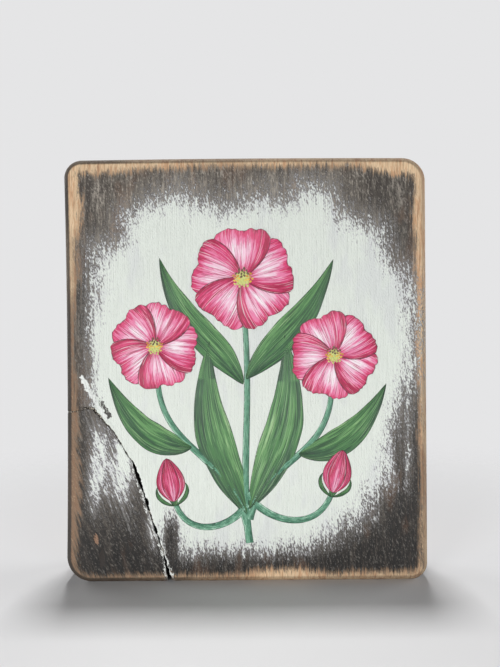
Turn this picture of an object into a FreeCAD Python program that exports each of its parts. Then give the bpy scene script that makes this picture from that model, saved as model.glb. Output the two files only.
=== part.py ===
import FreeCAD, Part
import math
import os

# A thick upright block of old wood with a hand-painted face. X is the width, +Z is up, and the
# painted face looks along -Y. The origin is under the middle of the block, on its bottom edge.
# All sizes are in millimetres.

# The wooden block
WIDTH = 140.0
HEIGHT = 163.5
THICKNESS = 25.0
LEFT_HOLLOW = 0.8
TOP_CROWN = 0.4
RIGHT_TAPER = 0.3
CORNER_RADII = {"top_left": 7.0, "top_right": 9.0, "bottom_left": 10.0, "bottom_right": 6.5}
FRONT_ROUNDING = 2.0
BACK_ROUNDING = 1.5

# The paint, from the wood outwards
STAIN_FILM = 0.10
GROUND_FILM = 0.15
MOTIF_FILM = 0.25
CENTRE_FILM = 0.40
STAIN_INSET = FRONT_ROUNDING + 0.4
PAINT_PROUD = GROUND_FILM + CENTRE_FILM

# The crack that splits off the lower left corner: x, z and how far it gapes
CRACK = (
    (-71.5, 65.9, 0.6), (-64.8, 65.9, 0.4), (-61.9, 67.2, 0.6), (-59.0, 67.2, 0.9),
    (-56.3, 64.0, 0.8), (-50.9, 57.9, 0.4), (-46.1, 49.5, 0.4), (-43.7, 46.0, 0.6),
    (-42.6, 42.5, 1.5), (-41.2, 38.4, 1.6), (-40.0, 35.0, 0.5), (-38.6, 30.8, 1.3),
    (-37.1, 25.3, 0.4), (-35.2, 20.0, 0.9), (-32.4, 11.6, 0.4), (-30.9, 5.0, 1.2),
    (-29.4, -1.5, 2.2),
)
# The heights between which old filler still bridges the crack
FILLER_SPANS = ((10.0, 14.5), (23.5, 27.5), (47.0, 70.0))
FILLER_FRONT_SINK = 0.5
FILLER_BACK_SINK = 1.0
PAINT_BREAK = 0.3

# The edge of the pale ground coat, as x, z
GROUND_EDGE = (
    (-27, 12), (-20, 11), (-6, 12), (9, 11), (23, 13), (31, 17), (37, 22), (45, 27), (47, 33),
    (54, 38), (56, 49), (58, 60), (61, 70), (64, 80), (64.5, 97), (64, 112), (61, 120), (56, 122),
    (53, 129), (51, 136), (42, 138), (35, 143), (32, 149), (22, 150), (16, 145), (7, 147),
    (-8, 143), (-18, 146), (-26, 149), (-38, 145), (-46, 141), (-48, 134), (-58, 129),
    (-59, 109), (-61, 101), (-64, 93), (-64, 77), (-61, 67), (-62, 56), (-63, 45), (-60, 35),
    (-56, 30), (-50, 31), (-45, 27), (-38, 15), (-32, 17), (-29, 22),
)

# The painted spray: each stem is the four poles of a curve, from its root up
STEM_WIDTH = 3.0
STEM_TAPER = 0.9
STEMS = (
    ((1, 15), (-3, 40), (3, 70), (-1, 108)),
    ((0, 22), (-6, 50), (-34, 50), (-34, 80)),
    ((1, 24), (6, 48), (33, 46), (33, 76)),
    ((0, 34), (8, 22), (28, 18), (33, 35)),
    ((0, 30), (-6, 20), (-24, 16), (-28, 32)),
)
# Each leaf is the four poles of its midrib, and its width
LEAVES = (
    (((0, 26), (-10, 48), (-18, 62), (-14, 93)), 14.0),
    (((1, 28), (12, 50), (20, 64), (15, 95)), 14.5),
    (((-1, 76), (-10, 92), (-26, 98), (-33, 125)), 11.5),
    (((0, 78), (10, 92), (24, 98), (34, 124)), 11.5),
    (((-21, 52), (-33, 52), (-44, 58), (-53, 79)), 11.0),
    (((20, 49), (33, 50), (44, 55), (54, 76)), 11.0),
)
# Each five-petalled rose is its name, centre, radius and turn in degrees
ROSES = (
    ("rose_top", (-1, 117), 19.5, 0.0),
    ("rose_left", (-35, 91), 16.5, 24.0),
    ("rose_right", (34, 87), 16.5, -20.0),
)
PETALS = 5
PETAL_HALF_WIDTH = 0.56
PETAL_ROOT = 0.12
PETAL_SHOULDER = 0.20
PETAL_NOTCH = 0.07
PETAL_NOTCH_WIDTH = 0.22
CENTRE_RADIUS = 0.20
# Each closed bud is its name, root, turn in degrees, length and half-width
BUDS = (
    ("bud_left", (-28, 31), -10.0, 17.0, 5.6),
    ("bud_right", (33, 34), 14.0, 17.0, 5.6),
)
CURVE_STEPS = 10

# The sawtooth hanger on the back, and its two nails
HANGER_LENGTH = 45.0
HANGER_HEIGHT = 8.0
HANGER_STEEL = 0.9
HANGER_LIFT = 1.6
HANGER_TAB = 8.0
HANGER_RAMP = 3.0
HANGER_DROP = 18.0
HANGER_CORNER = 2.0
TOOTH_PITCH = 2.4
TOOTH_DEPTH = 1.2
TEETH = 9
NAIL_RADIUS = 0.6
NAIL_LENGTH = 10.0
NAIL_HEAD_RADIUS = 1.5
NAIL_HEAD = 0.5

# Worked out from the sizes above
HANGER_PROUD = HANGER_LIFT + HANGER_STEEL
DEPTH = PAINT_PROUD + THICKNESS + HANGER_PROUD
FRONT = PAINT_PROUD - DEPTH / 2
BACK = FRONT + THICKNESS
HANGER_BOTTOM = HEIGHT - HANGER_DROP
FORWARDS = FreeCAD.Vector(0, -1, 0)
MARGIN = 5.0


def point(x, z, y=FRONT):
    return FreeCAD.Vector(x, y, z)


def spline(points, closed=False):
    curve = Part.BSplineCurve()
    curve.interpolate(points, PeriodicFlag=closed)
    return curve.toShape()


def film(wire, base, thickness):
    """A layer of paint on the face, from base to base + thickness in front of the wood."""
    sheet = Part.Face(wire)
    sheet.translate(FORWARDS * base)
    return sheet.extrude(FORWARDS * thickness)


def slab(inset, thickness):
    """The block's outline, drawn in by inset on every side, as a slab behind the face."""
    bottom = inset
    crown = HEIGHT - inset
    top = crown - TOP_CROWN
    left = inset - WIDTH / 2
    right = WIDTH / 2 - inset
    middle = point(left + LEFT_HOLLOW, HEIGHT / 2)
    sides = Part.Wire([
        Part.Arc(point(left, bottom), middle, point(left, top)).toShape(),
        Part.Arc(point(left, top), point(0, crown), point(right, top)).toShape(),
        Part.LineSegment(point(right, top), point(right - RIGHT_TAPER, bottom)).toShape(),
        Part.LineSegment(point(right - RIGHT_TAPER, bottom), point(left, bottom)).toShape(),
    ])
    body = Part.Face(sides).extrude(FORWARDS * -thickness)
    for name, radius in CORNER_RADII.items():
        height = top if name.startswith("top") else bottom
        side = left if name.endswith("left") else right
        corner = [e for e in body.Edges if is_depth_edge(e, side, height)]
        body = body.makeFillet(radius - inset, corner)
    return body


def block():
    body = slab(0, THICKNESS)
    body = body.makeFillet(FRONT_ROUNDING, edges_at(body, FRONT))
    return body.makeFillet(BACK_ROUNDING, edges_at(body, BACK))


def is_depth_edge(edge, x, z):
    middle = edge.CenterOfMass
    return abs(middle.x - x) < RIGHT_TAPER + 0.1 and abs(middle.z - z) < 0.1


def edges_at(body, y):
    return [e for e in body.Edges if e.BoundBox.YMax - e.BoundBox.YMin < 0.01
            and abs(e.CenterOfMass.y - y) < 0.01]


def crack(widening=0.0):
    """The crack as a thin crooked slab, straight through the block."""
    near = []
    far = []
    for i, (x, z, gap) in enumerate(CRACK):
        x0, z0, _ = CRACK[max(i - 1, 0)]
        x1, z1, _ = CRACK[min(i + 1, len(CRACK) - 1)]
        length = math.hypot(x1 - x0, z1 - z0)
        reach = gap / 2 + widening
        near.append(point(x - (z1 - z0) / length * reach, z + (x1 - x0) / length * reach))
        far.append(point(x + (z1 - z0) / length * reach, z - (x1 - x0) / length * reach))
    outline = Part.makePolygon(near + far[::-1] + near[:1])
    slab = Part.Face(outline).extrude(FORWARDS * -(THICKNESS + 2 * MARGIN))
    slab.translate(FORWARDS * MARGIN)
    return slab


def box(x0, x1, y0, y1, z0, z1):
    return Part.makeBox(x1 - x0, y1 - y0, z1 - z0, FreeCAD.Vector(x0, y0, z0))


def filler(body):
    """What is left in the crack, a little below the wood on every side that shows."""
    left = LEFT_HOLLOW + FILLER_FRONT_SINK - WIDTH / 2
    pieces = []
    for low, high in FILLER_SPANS:
        span = box(left, 0, FRONT + FILLER_FRONT_SINK, BACK - FILLER_BACK_SINK, low, high)
        pieces += crack().common(span).common(body).Solids
    return Part.makeCompound(pieces)


def stained_area():
    """The stain coat on the face, all round the ground coat."""
    coat = slab(STAIN_INSET, STAIN_FILM)
    coat.translate(FORWARDS * STAIN_FILM)
    return coat.cut(ground_area(-MARGIN, 2 * MARGIN))


def ground_area(base, thickness):
    edge = spline([point(x, z) for x, z in GROUND_EDGE], closed=True)
    return film(Part.Wire(edge), base, thickness)


def board_and_corner(coat):
    """A coat of paint, broken along the crack: the board's share, then the corner's."""
    right = CRACK[-1][0] + 1
    top = CRACK[0][1] + 2
    shares = ([], [])
    for piece in coat.cut(crack(PAINT_BREAK)).Solids:
        bounds = piece.BoundBox
        shares[bounds.XMax < right and bounds.ZMax < top].append(piece)
    return [Part.makeCompound(share) for share in shares]


def ribbon(poles, width):
    """A brush stroke along a curve, as wide at each share of its length as width says."""
    curve = Part.BezierCurve()
    curve.setPoles([point(x, z) for x, z in poles])
    left = []
    right = []
    for step in range(CURVE_STEPS + 1):
        share = step / CURVE_STEPS
        middle = curve.value(share)
        along = curve.tangent(share)[0]
        side = FreeCAD.Vector(-along.z, 0, along.x).normalize() * (width(share) / 2)
        left.append(middle + side)
        right.append(middle - side)
    edges = [spline(left), spline(right)]
    for a, b in ((left[0], right[0]), (left[-1], right[-1])):
        if a.distanceToPoint(b) > 0.001:
            edges.append(Part.LineSegment(a, b).toShape())
    return Part.Wire(Part.__sortEdges__(edges))


def stem(poles):
    wire = ribbon(poles, lambda share: STEM_WIDTH - STEM_TAPER * share)
    return film(wire, GROUND_FILM, MOTIF_FILM)


def leaf(poles, width):
    def across(share):
        return width * max(0.0, math.sin(math.pi * share ** 0.85)) ** 0.85 if 0 < share < 1 else 0.0
    return film(ribbon(poles, across), GROUND_FILM, MOTIF_FILM)


def turned(points, centre, turn):
    angle = math.radians(turn)
    x0, z0 = centre
    return [point(x0 + x * math.cos(angle) + z * math.sin(angle),
                  z0 - x * math.sin(angle) + z * math.cos(angle)) for x, z in points]


def petal(centre, radius, turn):
    """A fan-shaped petal with a notched rim, from the middle of the rose outwards."""
    def rim(across):
        shoulder = 1 - PETAL_SHOULDER + PETAL_SHOULDER * math.sqrt(1 - across ** 2)
        return radius * (shoulder - PETAL_NOTCH * math.exp(-(across / PETAL_NOTCH_WIDTH) ** 2))

    side = []
    for step in range(CURVE_STEPS + 1):
        along = PETAL_ROOT + (1 - PETAL_ROOT) * step / CURVE_STEPS
        spread = radius * PETAL_HALF_WIDTH * math.sin(math.pi / 2 * along ** 0.8)
        side.append((spread, along * rim(1)))
    top = []
    for step in range(2 * CURVE_STEPS + 1):
        across = math.sin(math.pi / 2 * (1 - step / CURVE_STEPS))
        top.append((across * radius * PETAL_HALF_WIDTH, rim(across)))
    other = [(-x, z) for x, z in side]
    edges = [spline(turned(run, centre, turn)) for run in (side, top, other)]
    root = turned([side[0], other[0]], centre, turn)
    edges.append(Part.LineSegment(root[0], root[1]).toShape())
    return film(Part.Wire(Part.__sortEdges__(edges)), GROUND_FILM, MOTIF_FILM)


def rose_centre(centre, radius):
    disc = Part.Circle(point(*centre), FORWARDS, radius * CENTRE_RADIUS).toShape()
    return film(Part.Wire(disc), GROUND_FILM, CENTRE_FILM)


def rose(centre, radius, turn):
    petals = [petal(centre, radius, turn + 360 / PETALS * i) for i in range(PETALS)]
    return petals[0].multiFuse(petals[1:]).cut(rose_centre(centre, radius))


def bud(root, turn, length, half_width):
    """A pointed egg shape, widest below its middle."""
    outline = []
    for step in range(2 * CURVE_STEPS):
        angle = math.pi * step / CURVE_STEPS
        share = (1 - math.cos(angle)) / 2
        fullness = 0.55 + 0.45 * math.sin(math.pi * share ** 0.7)
        outline.append((half_width * math.sin(angle) * fullness, length * share))
    edge = spline(turned(outline, root, turn), closed=True)
    return film(Part.Wire(edge), GROUND_FILM, MOTIF_FILM)


def hanger_plate():
    """A steel strip, flat at both ends and lifted between them, with teeth along its edge."""
    end = HANGER_LENGTH / 2
    foot = end - HANGER_TAB
    knee = foot - HANGER_RAMP
    low = [(-end, 0), (-foot, 0), (-knee, HANGER_LIFT), (knee, HANGER_LIFT), (foot, 0), (end, 0)]
    high = [(x, y + HANGER_STEEL) for x, y in low]
    outline = [point(x, HANGER_BOTTOM, BACK + y) for x, y in low + high[::-1] + low[:1]]
    plate = Part.Face(Part.makePolygon(outline)).extrude(FreeCAD.Vector(0, 0, HANGER_HEIGHT))
    ends = [e for e in plate.Edges if abs(abs(e.CenterOfMass.x) - end) < 0.01
            and e.BoundBox.YMax - e.BoundBox.YMin > HANGER_STEEL / 2]
    plate = plate.makeFillet(HANGER_CORNER, ends)
    for i in range(TEETH):
        middle = (i - (TEETH - 1) / 2) * TOOTH_PITCH
        corners = ((middle - TOOTH_PITCH / 2, -0.1), (middle, TOOTH_DEPTH),
                   (middle + TOOTH_PITCH / 2, -0.1))
        notch = [point(x, HANGER_BOTTOM + z, BACK) for x, z in corners + corners[:1]]
        plate = plate.cut(Part.Face(Part.makePolygon(notch)).extrude(FORWARDS * -MARGIN))
    return plate


def nails():
    """Two headed nails, each through one end of the hanger and straight into the board."""
    made = []
    for side in (-1, 1):
        x = side * (HANGER_LENGTH - HANGER_TAB) / 2
        head_seat = point(x, HANGER_BOTTOM + HANGER_HEIGHT / 2, BACK + HANGER_STEEL)
        head = Part.makeCylinder(NAIL_HEAD_RADIUS, NAIL_HEAD, head_seat, FORWARDS * -1)
        shank = Part.makeCylinder(NAIL_RADIUS, NAIL_LENGTH, head_seat, FORWARDS)
        tip_seat = head_seat + FORWARDS * NAIL_LENGTH
        tip = Part.makeCone(NAIL_RADIUS, 0, 2 * NAIL_RADIUS, tip_seat, FORWARDS)
        made.append(head.fuse([shank, tip]).removeSplitter())
    return Part.makeCompound(made)


def save(name, shape):
    shape.exportStep("parts/" + name + ".step")


def main():
    os.makedirs("parts", exist_ok=True)
    whole = block()
    fasteners = nails()
    halves = sorted(whole.cut(crack()).Solids, key=lambda s: s.Volume)
    save("split_corner", halves[0])
    save("wood_board", halves[-1].cut(fasteners))
    save("crack_filler", filler(whole))

    for name, coat in (("stain_coat", stained_area()), ("ground_coat", ground_area(0, GROUND_FILM))):
        board, corner = board_and_corner(coat)
        save(name, board)
        save("corner_" + name, corner)

    blooms = [rose(centre, radius, turn) for _, centre, radius, turn in ROSES]
    centres = [rose_centre(centre, radius) for _, centre, radius, _ in ROSES]
    buds = [bud(root, turn, length, half) for _, root, turn, length, half in BUDS]
    upper = blooms + centres + buds
    cut_leaves = []
    for poles, width in LEAVES:
        shape = leaf(poles, width).cut(upper + cut_leaves)
        cut_leaves += shape.Solids
    cut_stems = []
    for poles in STEMS:
        shape = stem(poles).cut(upper + cut_leaves + cut_stems)
        cut_stems += shape.Solids
    for (name, *_), shape in zip(ROSES, blooms):
        save(name, shape)
    for (name, *_), shape in zip(BUDS, buds):
        save(name, shape)
    save("rose_centres", Part.makeCompound(centres))
    save("leaf_paint", Part.makeCompound(cut_leaves))
    save("stem_paint", Part.makeCompound(cut_stems))

    save("hanger_plate", hanger_plate().cut(fasteners))
    save("hanger_nails", fasteners)


main()
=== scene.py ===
import math

import bmesh
import bpy
import numpy as np
from bpy.props import FloatProperty, FloatVectorProperty, PointerProperty
from mathutils import Matrix, Vector, noise


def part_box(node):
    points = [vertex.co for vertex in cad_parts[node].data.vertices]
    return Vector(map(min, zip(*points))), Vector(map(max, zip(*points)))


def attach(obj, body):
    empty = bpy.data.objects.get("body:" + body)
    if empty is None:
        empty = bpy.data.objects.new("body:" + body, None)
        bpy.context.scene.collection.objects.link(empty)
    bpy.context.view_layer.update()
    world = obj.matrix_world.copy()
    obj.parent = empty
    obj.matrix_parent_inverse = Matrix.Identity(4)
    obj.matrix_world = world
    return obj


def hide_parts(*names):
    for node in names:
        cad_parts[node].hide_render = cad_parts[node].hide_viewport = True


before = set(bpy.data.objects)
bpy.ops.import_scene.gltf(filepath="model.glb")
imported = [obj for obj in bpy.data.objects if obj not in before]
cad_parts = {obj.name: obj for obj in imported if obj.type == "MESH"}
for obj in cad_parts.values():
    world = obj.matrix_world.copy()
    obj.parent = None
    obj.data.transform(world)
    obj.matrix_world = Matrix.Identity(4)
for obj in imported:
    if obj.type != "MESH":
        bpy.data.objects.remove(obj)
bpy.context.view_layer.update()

bl_info = {
    "name": "Painted wooden block",
    "version": (1, 0, 0),
    "blender": (4, 5, 0),
    "location": "3D View > Sidebar > Painted block",
    "description": "A thick block of old wood with a brushed, hand-painted face",
    "category": "Object",
}

# Everything is modelled in millimetres and brought to metres when a piece is finished.
MM = 0.001
BODY = "root"
BOARD_LOW, BOARD_HIGH = (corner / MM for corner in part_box("wood_board"))
FRONT, BACK = BOARD_LOW.y, BOARD_HIGH.y
HEIGHT = BOARD_HIGH.z
WIDTH = 140.0
LEFT_HOLLOW = 0.8
TOP_CROWN = 0.4
RIGHT_TAPER = 0.3
CORNER_RADII = {
    ("left", "top"): 7.0,
    ("right", "top"): 9.0,
    ("left", "bottom"): 10.0,
    ("right", "bottom"): 6.5,
}
BACK_ROUNDING = 1.5
# The painted face goes round its edge and back this far, straight for the last part
FACE_DEPTH = 2.2
FACE_STRAIGHT = 0.05

# The crack, as in the solids: x, z and how far it gapes. Between HAIRLINE's shares it is filled.
CRACK = (
    (-71.5, 65.9, 0.6), (-64.8, 65.9, 0.4), (-61.9, 67.2, 0.6), (-59.0, 67.2, 0.9),
    (-56.3, 64.0, 0.8), (-50.9, 57.9, 0.4), (-46.1, 49.5, 0.4), (-43.7, 46.0, 0.6),
    (-42.6, 42.5, 1.5), (-41.2, 38.4, 1.6), (-40.0, 35.0, 0.5), (-38.6, 30.8, 1.3),
    (-37.1, 25.3, 0.4), (-35.2, 20.0, 0.9), (-32.4, 11.6, 0.4), (-30.9, 5.0, 1.2),
    (-29.4, -1.5, 2.2),
)
HAIRLINE = (2.0, 7.0)
# Torn wood above the crack, as a line of x, z: a raised white lip, and pits beside its lower half
SCAR = ((-63.0, 79.0), (-59.8, 73.0), (-56.4, 67.5), (-53.0, 62.0))
# A splinter gone from the corner, and a hollow under it that is painted dark as shade: x, z, half-width and
# half-height
CHIP = (-58.2, 16.5, 1.6, 3.2)
HOLLOW = (-56.0, 9.5, 1.4, 4.2)

# The edge of the pale ground coat, as x, z
GROUND_EDGE = (
    (-27, 12), (-20, 11), (-6, 12), (9, 11), (23, 13), (31, 17), (37, 22), (45, 27), (47, 33),
    (54, 38), (56, 49), (58, 60), (61, 70), (64, 80), (64.5, 97), (64, 112), (61, 120), (56, 122),
    (53, 129), (51, 136), (42, 138), (35, 143), (32, 149), (22, 150), (16, 145), (7, 147),
    (-8, 143), (-18, 146), (-26, 149), (-38, 145), (-46, 141), (-48, 134), (-58, 129),
    (-59, 109), (-61, 101), (-64, 93), (-64, 77), (-61, 67), (-62, 56), (-63, 45), (-60, 35),
    (-56, 30), (-50, 31), (-45, 27), (-38, 15), (-32, 17), (-29, 22),
)

# Where the ground coat is brushed thinner or thicker than its edge alone gives: x, z, half width,
# half height and the change in mm. On the corner it starts from CORNER_COVER.
GROUND_SPREAD = 1.5
CORNER_COVER = -6.5
BOARD_STROKES = (
    (-60, 84, 4, 15, -5.0), (-29, 17, 2.5, 10, -8.0), (-50, 128, 9, 12, -4.0), (60, 52, 5, 20, -3.0),
    (12, 0, 70, 8, -8.0), (-66.5, 84, 4.5, 34, -10.0), (2, 157, 30, 6, 2.5), (62.5, 46, 2.0, 16, 7.0),
)
CORNER_STROKES = (
    (-56.5, 50.0, 4.0, 12, 8.0), (-48.0, 40.0, 5, 11, 9.0), (-59.0, 36.0, 4, 10, 6.0),
    (-50.0, 8.0, 20, 12, -8.0), (-66.0, 40.0, 4, 40, -7.0), (-36.5, 19.0, 3, 12, 9.0),
    (-47.5, 50.5, 3.0, 7, 8.0),
)
# Where the stain stays thick and dark: x, z, half width, half height and how much darker
DARK_STAIN = ((56, 128, 15, 32, 0.6), (-62, 118, 6, 30, 0.4), (62, 60, 8, 40, 0.2), (-28, 15, 4, 12, 0.2))
# How the front edge is worn: x, z, width of the bare wood, its dirt and how dark its rim is, where stain and
# painted shade darken the turn of the edge
WEAR = (
    (-69, 148, 6.0, 0.1, 1.0), (-70, 124, 3.5, 0.3, 0.9), (-69, 93, 1.8, 0.5, 1.0),
    (-69, 62, 3.4, 1.0, 1.0), (-69, 39, 4.2, 0.8, 0.9), (-69, 15, 3.0, 0.8, 1.0),
    (-57, 1, 1.8, 0.5, 0.9), (-34, 1, 2.2, 0.4, 0.8), (-10, 1, 2.0, 0.2, 0.6),
    (13, 1, 4.2, 0.1, 0.4), (37, 1, 2.6, 0.2, 0.5), (60, 1, 3.0, 0.3, 0.5),
    (70, 15, 2.2, 0.2, 0.5), (70, 39, 1.8, 0.3, 0.4), (70, 62, 2.6, 0.2, 0.4),
    (70, 93, 3.8, 0.1, 0.4), (70, 124, 3.6, 0.1, 0.3), (69, 148, 4.2, 0.1, 0.3),
    (60, 163, 6.0, 0.1, 0.6), (37, 163, 3.0, 0.2, 0.6), (13, 163, 3.2, 0.1, 0.6),
    (-10, 163, 2.8, 0.2, 0.7), (-34, 163, 3.4, 0.1, 0.7), (-57, 163, 5.0, 0.2, 0.9),
)

# The painted spray, as in the solids
STEM_WIDTH = 3.0
STEM_TAPER = 0.9
STEMS = (
    ((1, 15), (-3, 40), (3, 70), (-1, 108)),
    ((0, 22), (-6, 50), (-34, 50), (-34, 80)),
    ((1, 24), (6, 48), (33, 46), (33, 76)),
    ((0, 34), (8, 22), (28, 18), (33, 35)),
    ((0, 30), (-6, 20), (-24, 16), (-28, 32)),
)
LEAVES = (
    (((0, 26), (-10, 48), (-18, 62), (-14, 93)), 14.0),
    (((1, 28), (12, 50), (20, 64), (15, 95)), 14.5),
    (((-1, 76), (-10, 92), (-26, 98), (-33, 125)), 11.5),
    (((0, 78), (10, 92), (24, 98), (34, 124)), 11.5),
    (((-21, 52), (-33, 52), (-44, 58), (-53, 79)), 11.0),
    (((20, 49), (33, 50), (44, 55), (54, 76)), 11.0),
)
ROSES = (
    ("rose_top", (-1, 117), 19.5, 0.0),
    ("rose_left", (-35, 91), 16.5, 24.0),
    ("rose_right", (34, 87), 16.5, -20.0),
)
PETALS = 5
PETAL_HALF_WIDTH = 0.56
PETAL_ROOT = 0.12
PETAL_SHOULDER = 0.20
PETAL_NOTCH = 0.07
PETAL_NOTCH_WIDTH = 0.22
CENTRE_RADIUS = 0.20
BUDS = (
    ("bud_left", (-28, 31), -10.0, 17.0, 5.6),
    ("bud_right", (33, 34), 14.0, 17.0, 5.6),
)
PAINT_ROOT = 0.3

# The flat part of a face or a back is a grid that stops this far inside the outline. Rings of
# points, at these depths inside the outline, carry the rounded edge on from there.
GRID_INSET = 0.3
EDGE_RINGS = (0.14, 0.04, 0.0)
SIDE_RINGS = 15
SIDE_DENTS = 0.22
# Behind the painted face the wood is a little smaller: inset, inset from the crack and depth
WOOD_TUCK = ((0.1, 0.1, 2.1), (0.3, 0.1, 1.6), (0.9, 0.1, 1.2), (1.7, 0.1, 1.1))

# The dabs in the middle of a rose: how many, and half their thickness
DABS = 34
DAB_HALF_THICKNESS = 0.12

# The camera looks straight at the face from 238 mm, a little right of the middle
CAMERA_X = 1.7
CAMERA_HEIGHT = 95.6
CAMERA_GAP = 237.6
CAMERA_ROLL = 0.45
LENS = 33.3

# The lights, in metres and watts: name, place, aim, size and power
LIGHTS = (
    ("overhead panel", (0.0, 0.64, 3.4), (0.0, 0.0, 0.0), (0.50, 0.50), 84.0),
    ("front left panel", (-0.9, -1.3, 0.20), (0.0, 0.0, 0.08), (0.5, 0.3), 16.0),
    ("front right panel", (0.8, -1.3, 0.20), (0.0, 0.0, 0.08), (0.5, 0.3), 7.5),
    ("rear left panel", (-1.1, 0.8, 0.35), (0.0, 0.0, 0.08), (0.8, 0.5), 7.0),
    ("rear right panel", (1.3, 0.4, 0.35), (0.0, 0.0, 0.08), (0.8, 0.5), 8.0),
)
# The floor is a disc that fades into the background between these distances from its middle
FLOOR_RADIUS = 2.5
FLOOR_FADE = (0.12, 0.34)
WORLD_STRENGTH = 0.05


def linear(code):
    """An sRGB hex colour as the linear colour that materials work in."""
    parts = [int(code[i:i + 2], 16) / 255 for i in (1, 3, 5)]
    return [c / 12.92 if c <= 0.04045 else ((c + 0.055) / 1.055) ** 2.4 for c in parts] + [1.0]


# ---------------------------------------------------------------- settings

def colour(name, code, description):
    """A colour that the user can change."""
    return FloatVectorProperty(name=name, description=description, subtype="COLOR", size=4,
                               default=linear(code), min=0, max=1)


class BlockSizes(bpy.types.PropertyGroup):
    """The block's finer sizes, in mm"""
    face_spacing: FloatProperty(
        name="Face detail", description="Distance between the points of the painted face, in mm",
        default=0.52, min=0.4, max=4)
    body_spacing: FloatProperty(
        name="Back detail", description="Distance between the points of the back, in mm",
        default=0.9, min=0.5, max=5)
    rounding: FloatProperty(
        name="Worn edge", description="Radius that the front edges are rubbed down to, in mm",
        default=2.0, min=0.5, max=2)
    grain: FloatProperty(
        name="Grain width", description="Distance between growth lines, in mm",
        default=2.4, min=0.5, max=6)
    bristle: FloatProperty(
        name="Bristle mark", description="Width of one bristle's mark in the paint, in mm",
        default=0.5, min=0.2, max=2)


class PaintColours(bpy.types.PropertyGroup):
    """The main colours of the paint and of the worn wood"""
    mint: colour("Ground coat", "#E1E7DF", "Pale mint ground")
    mint_thin: colour("Thin ground", "#BDBBC0", "Ground coat where it is brushed out thin")
    stain_low: colour("Stain, low", "#1B1714", "Stain near the foot of the face")
    stain_high: colour("Stain, high", "#615B53", "Stain near the top of the face")
    bare: colour("Bare wood", "#E8CBA6", "Wood sanded bare along the front edge")
    bare_dark: colour("Dirty wood", "#735A48", "Bare wood where dirt has settled in it")
    # The rim colour is the stain on the turn of the edge together with painted shade where the rounded edge
    # turns away from the light
    rim: colour("Rim stain", "#2E2822", "Stain on the turn of the edge")


# ---------------------------------------------------------------- shapes on the face

def line_distance(points, x, z):
    """Distance of each place from a line of points, positive on its left, and where along it."""
    best = np.full(x.shape, np.inf)
    side = np.ones(x.shape)
    share = np.zeros(x.shape)
    for i in range(len(points) - 1):
        ax, az = points[i][:2]
        dx, dz = points[i + 1][0] - ax, points[i + 1][1] - az
        t = np.clip(((x - ax) * dx + (z - az) * dz) / (dx * dx + dz * dz), 0, 1)
        gap = np.hypot(x - ax - t * dx, z - az - t * dz)
        closer = gap < best
        best = np.where(closer, gap, best)
        side = np.where(closer, np.where(dx * (z - az) > dz * (x - ax), 1, -1), side)
        share = np.where(closer, i + t, share)
    return best * side, share


def edge_depth(x, z):
    """How far each place lies inside the block's outline."""
    top = HEIGHT - TOP_CROWN
    rise = (z - top / 2) / (top / 2)
    left = x + WIDTH / 2 - LEFT_HOLLOW * (1 - rise ** 2)
    right = WIDTH / 2 - RIGHT_TAPER * (1 - z / top) - x
    up = top + TOP_CROWN * (1 - (x / WIDTH * 2) ** 2) - z
    across = np.minimum(left, right)
    upright = np.minimum(up, z)
    depth = np.minimum(across, upright)
    for (side, end), radius in CORNER_RADII.items():
        here = ((left < right) == (side == "left")) & ((up < z) == (end == "top"))
        here &= (across < radius) & (upright < radius)
        depth = np.where(here, radius - np.hypot(radius - across, radius - upright), depth)
    return depth


def wall_depth(x, z, side):
    """How far each place lies from the crack's wall, on the board (side 1) or the corner (-1)."""
    distance, share = line_distance(CRACK, x, z)
    gapes = np.interp(share, range(len(CRACK)), [gap for _, _, gap in CRACK])
    torn = 0.35 * rough(x, z, 1.9, 1.9, side * 7.0) + 0.30 * rough(x, z, 0.9, 0.9, side * 9.0)
    return side * distance - np.maximum(0.5 * gapes + torn, 0.06), share


def grid_depth(x, z, side):
    """How far each place lies inside the flat part of the board (side 1) or the corner (-1)."""
    return np.minimum(edge_depth(x, z) - GRID_INSET, wall_depth(x, z, side)[0])


def ground_depth(x, z):
    """How far each place lies inside the ground coat's edge, negative outside it."""
    ring = GROUND_EDGE + GROUND_EDGE[:1]
    distance, _ = line_distance(ring, x, z)
    inside = np.zeros(x.shape, bool)
    for (ax, az), (bx, bz) in zip(ring[:-1], ring[1:]):
        crosses = (az > z) != (bz > z)
        inside ^= crosses & (x < ax + (z - az) * (bx - ax) / ((bz - az) or 1e-9))
    return np.where(inside, abs(distance), -abs(distance))


def ground_cover(x, z, side):
    """How well the ground coat covers each place, in mm inside its edge. It is brushed thinner
    over the corner, apart from a few strokes."""
    if side > 0:
        cover, changes = ground_depth(x, z), BOARD_STROKES
    else:
        cover, changes = np.minimum(ground_depth(x, z) + 3, CORNER_COVER), CORNER_STROKES
    for *place, change in changes:
        cover = cover + change * spot(x, z, place)
    return cover + GROUND_SPREAD


def stain_rubbed(x, z):
    """How far the stain is rubbed thin, from 0 near the foot to 1 near the top."""
    rubbed = (z - 10) / 140
    for *place, darker in DARK_STAIN:
        rubbed = rubbed - darker * spot(x, z, place)
    return np.clip(rubbed, 0, 1)


def edge_wear(x, z):
    """The width of the bare wood, its dirt and its rim's darkness, from the nearest of WEAR."""
    weights = [1 / (np.hypot(x - wx, z - wz) + 1) ** 3 for wx, wz, *_ in WEAR]
    whole = sum(weights)
    return [sum(w * wear[k] for w, wear in zip(weights, WEAR)) / whole for k in (2, 3, 4)]


def rough(x, z, across, along, seed):
    """Soft noise from -1 to 1, in lumps of across by along millimetres."""
    return np.array([noise.noise(Vector((a / across, b / along, seed))) for a, b in zip(x, z)])


def spot(x, z, place):
    """1 in the middle of a soft spot at x, z with a half width and half height, and 0 outside."""
    cx, cz, half_width, half_height = place
    return np.exp(-((x - cx) / half_width) ** 2 - ((z - cz) / half_height) ** 2)


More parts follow.
